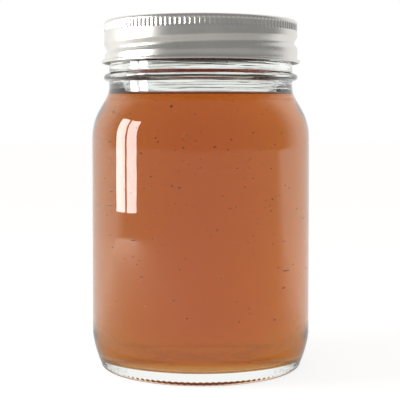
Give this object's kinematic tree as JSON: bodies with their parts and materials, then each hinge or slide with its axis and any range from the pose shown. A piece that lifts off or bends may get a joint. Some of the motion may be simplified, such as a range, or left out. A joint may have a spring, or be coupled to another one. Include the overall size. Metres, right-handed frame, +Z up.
{
  "type": "honey jar",
  "caption": "Clear glass preserving jar filled with amber honey, closed by a flat metal disc and a knurled screw band.",
  "frame": {"origin": "centre of the flat ring that the jar stands on", "axes": "+Z up along the jar's axis of turning; -Y faces the viewer; the screw thread is right-handed about +Z"},
  "size_m": [0.0825, 0.0824, 0.1308],
  "materials": {
    "glass": "clear, smooth, fire polished",
    "honey": "clear amber liquid with fine bubbles",
    "disc_metal": "satin tinplate",
    "band_metal": "satin tinplate, rolled and knurled"
  },
  "bodies": {
    "root": {"glass_jar": "glass", "honey": "honey", "lid_disc": "disc_metal", "screw_band": "band_metal"}
  },
  "joints": []
}
